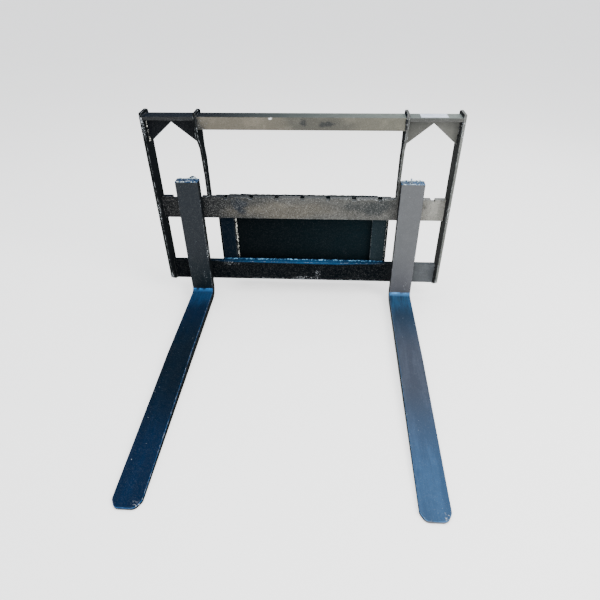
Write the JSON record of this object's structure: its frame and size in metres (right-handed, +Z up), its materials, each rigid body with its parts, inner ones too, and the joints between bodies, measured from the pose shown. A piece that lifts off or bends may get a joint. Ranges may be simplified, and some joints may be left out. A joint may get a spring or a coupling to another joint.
{
  "type": "pallet fork attachment",
  "caption": "Pallet fork attachment: welded frame with notched carriage rail, top guard and quick-attach plate, carrying hook-on forks that slide sideways and lock with spring pins.",
  "frame": {"origin": "on the floor, at the middle of the footprint's bounding box", "axes": "+X to the right seen from in front of the fork tips, -Y towards the fork tips, +Z up"},
  "size_m": [1.136, 1.1798, 0.79],
  "materials": {
    "frame_black_paint": "semi-gloss black enamel over hot-rolled bar, scuffed at the edges",
    "fork_black_paint": "semi-gloss black enamel, worn at the tips",
    "plated_steel": "zinc plated",
    "spring_steel": "oiled spring wire",
    "blank_label_film": "plain satin film, no print"
  },
  "bodies": {
    "frame": {"upper_carriage_rail": "frame_black_paint", "lower_carriage_rail": "frame_black_paint", "outer_post_left": "frame_black_paint", "outer_post_right": "frame_black_paint", "inner_post_left": "frame_black_paint", "inner_post_right": "frame_black_paint", "guard_rail_centre": "frame_black_paint", "guard_rail_left": "frame_black_paint", "guard_rail_right": "frame_black_paint", "gusset_left_inner": "frame_black_paint", "gusset_left_outer": "frame_black_paint", "gusset_right_inner": "frame_black_paint", "gusset_right_outer": "frame_black_paint", "quick_attach_plate": "frame_black_paint", "quick_attach_hook_lip": "frame_black_paint", "quick_attach_pin_flange": "frame_black_paint", "upright_left": "frame_black_paint", "upright_right": "frame_black_paint", "blank_label": "blank_label_film"},
    "left_fork_body": {"left_fork": "fork_black_paint", "left_upper_hook": "fork_black_paint", "left_lower_hook": "fork_black_paint", "left_spring_cap": "plated_steel", "left_lock_spring": "spring_steel"},
    "right_fork_body": {"right_fork": "fork_black_paint", "right_upper_hook": "fork_black_paint", "right_lower_hook": "fork_black_paint", "right_spring_cap": "plated_steel", "right_lock_spring": "spring_steel"},
    "left_pin_body": {"left_lock_pin": "plated_steel", "left_pull_tab": "plated_steel"},
    "right_pin_body": {"right_lock_pin": "plated_steel", "right_pull_tab": "plated_steel"}
  },
  "joints": [
    {"name": "left_fork_slide", "type": "slide", "parent": "frame", "child": "left_fork_body", "axis": [1, 0, 0], "range_m": [-0.0675, 0.0341]},
    {"name": "right_fork_slide", "type": "slide", "parent": "frame", "child": "right_fork_body", "axis": [1, 0, 0], "range_m": [-0.0131, 0.0885]},
    {"name": "left_pin_lift", "type": "slide", "parent": "left_fork_body", "child": "left_pin_body", "axis": [0, 0, 1], "range_m": [-0.0075, 0], "stiffness_N_per_m": 400, "deforming": ["left_lock_spring"]},
    {"name": "right_pin_lift", "type": "slide", "parent": "right_fork_body", "child": "right_pin_body", "axis": [0, 0, 1], "range_m": [0, 0.0075], "deforming": ["right_lock_spring"]}
  ]
}
